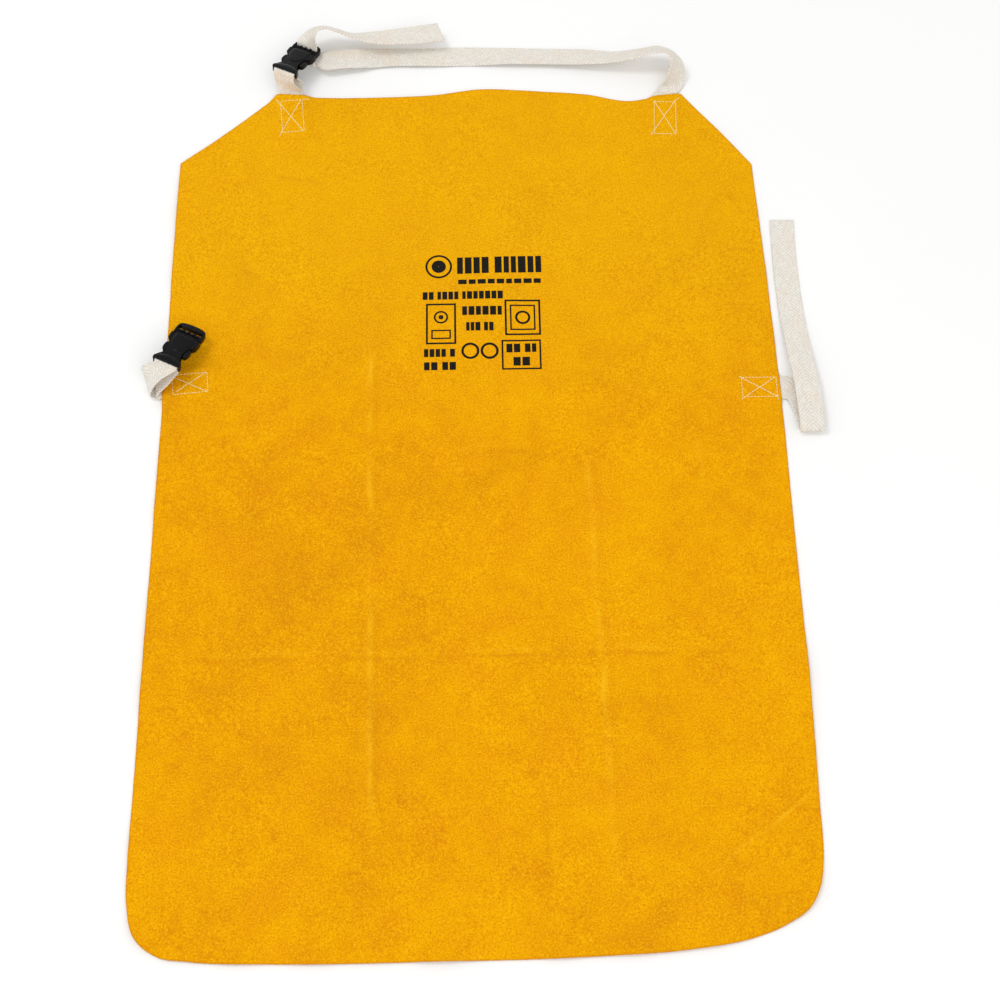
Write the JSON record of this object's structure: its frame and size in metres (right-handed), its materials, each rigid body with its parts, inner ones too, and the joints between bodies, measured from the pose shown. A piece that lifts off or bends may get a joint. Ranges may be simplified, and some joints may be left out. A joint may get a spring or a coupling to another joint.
{
  "type": "welding apron",
  "caption": "Suede leather welding apron laid flat, with webbing neck and waist straps sewn to the corners and side-release buckles.",
  "frame": {"origin": "middle of the leather panel's rectangle, on the flat plane the back of the leather lies on", "axes": "+X to the right of someone looking at the front, +Y towards the bib top, +Z out of the front of the leather"},
  "size_m": [0.694, 1.0158, 0.0394],
  "materials": {
    "leather": "matte",
    "webbing": "matte",
    "thread": "satin",
    "plastic": "satin"
  },
  "bodies": {
    "panel": {"leather_upper": "leather", "neck_tab_sewn_end": "webbing", "neck_strap_sewn_end": "webbing", "waist_strap_sewn_end": "webbing", "neck_tab_stitching": "thread", "neck_strap_stitching": "thread", "waist_tab_stitching": "thread", "waist_strap_stitching": "thread", "waist_tab": "webbing"},
    "skirt": {"leather_lower": "leather"},
    "neck_loop": {"neck_tab": "webbing", "neck_buckle_socket": "plastic", "neck_strap": "webbing"},
    "neck_plug": {"neck_buckle_plug": "plastic", "neck_strap_tail": "webbing"},
    "neck_arm_left": {"neck_plug_arm_left": "plastic"},
    "neck_arm_right": {"neck_plug_arm_right": "plastic"},
    "waist_buckle": {"waist_buckle_socket": "plastic"},
    "waist_plug": {"waist_buckle_plug": "plastic"},
    "waist_arm_left": {"waist_plug_arm_left": "plastic"},
    "waist_arm_right": {"waist_plug_arm_right": "plastic"},
    "waist_strap_run": {"waist_strap": "webbing"}
  },
  "joints": [
    {"name": "skirt_fold", "type": "hinge", "parent": "panel", "child": "skirt", "pos_m": [0, -0.188, 0.0017], "axis": [-1, 0, 0], "range_deg": [0, 160]},
    {"name": "neck_loop_swing", "type": "hinge", "parent": "panel", "child": "neck_loop", "pos_m": [0, 0.4663, 0.0064], "axis": [1, 0, 0], "range_deg": [0, 85]},
    {"name": "neck_plug_slide", "type": "slide", "parent": "neck_loop", "child": "neck_plug", "axis": [0.4513, 0.8487, -0.2756], "range_m": [0, 0.027], "deforming": ["neck_plug_arm_left", "neck_plug_arm_right"]},
    {"name": "neck_arm_left_squeeze", "type": "hinge", "parent": "neck_plug", "child": "neck_arm_left", "pos_m": [-0.19308, 0.51375, 0.01778], "axis": [0.0753, 0.2716, 0.9595], "range_deg": [0, 10]},
    {"name": "neck_arm_right_squeeze", "type": "hinge", "parent": "neck_plug", "child": "neck_arm_right", "pos_m": [-0.17477, 0.5044, 0.01899], "axis": [-0.0753, -0.2716, -0.9595], "range_deg": [0, 10]},
    {"name": "waist_buckle_tilt", "type": "hinge", "parent": "panel", "child": "waist_buckle", "pos_m": [-0.30683, 0.11688, 0.02803], "axis": [0.9053, -0.4235, -0.0335], "range_deg": [0, 42]},
    {"name": "waist_plug_slide", "type": "slide", "parent": "waist_buckle", "child": "waist_plug", "axis": [0.3976, 0.8725, -0.284], "range_m": [0, 0.027], "deforming": ["waist_plug_arm_left", "waist_plug_arm_right"]},
    {"name": "waist_arm_left_squeeze", "type": "hinge", "parent": "waist_plug", "child": "waist_arm_left", "pos_m": [-0.30152, 0.15325, 0.01941], "axis": [0.1495, 0.2438, 0.9582], "range_deg": [0, 10]},
    {"name": "waist_arm_right_squeeze", "type": "hinge", "parent": "waist_plug", "child": "waist_arm_right", "pos_m": [-0.28287, 0.14453, 0.01872], "axis": [-0.1495, -0.2438, -0.9582], "range_deg": [0, 10]},
    {"name": "waist_strap_swing", "type": "hinge", "parent": "panel", "child": "waist_strap_run", "pos_m": [0.3185, 0.091, 0.004], "axis": [0, -1, 0], "range_deg": [0, 110]}
  ],
  "couplings": [
    {"joint": "neck_arm_right_squeeze", "follows": "neck_arm_left_squeeze", "ratio": 1},
    {"joint": "waist_arm_right_squeeze", "follows": "waist_arm_left_squeeze", "ratio": 1}
  ]
}
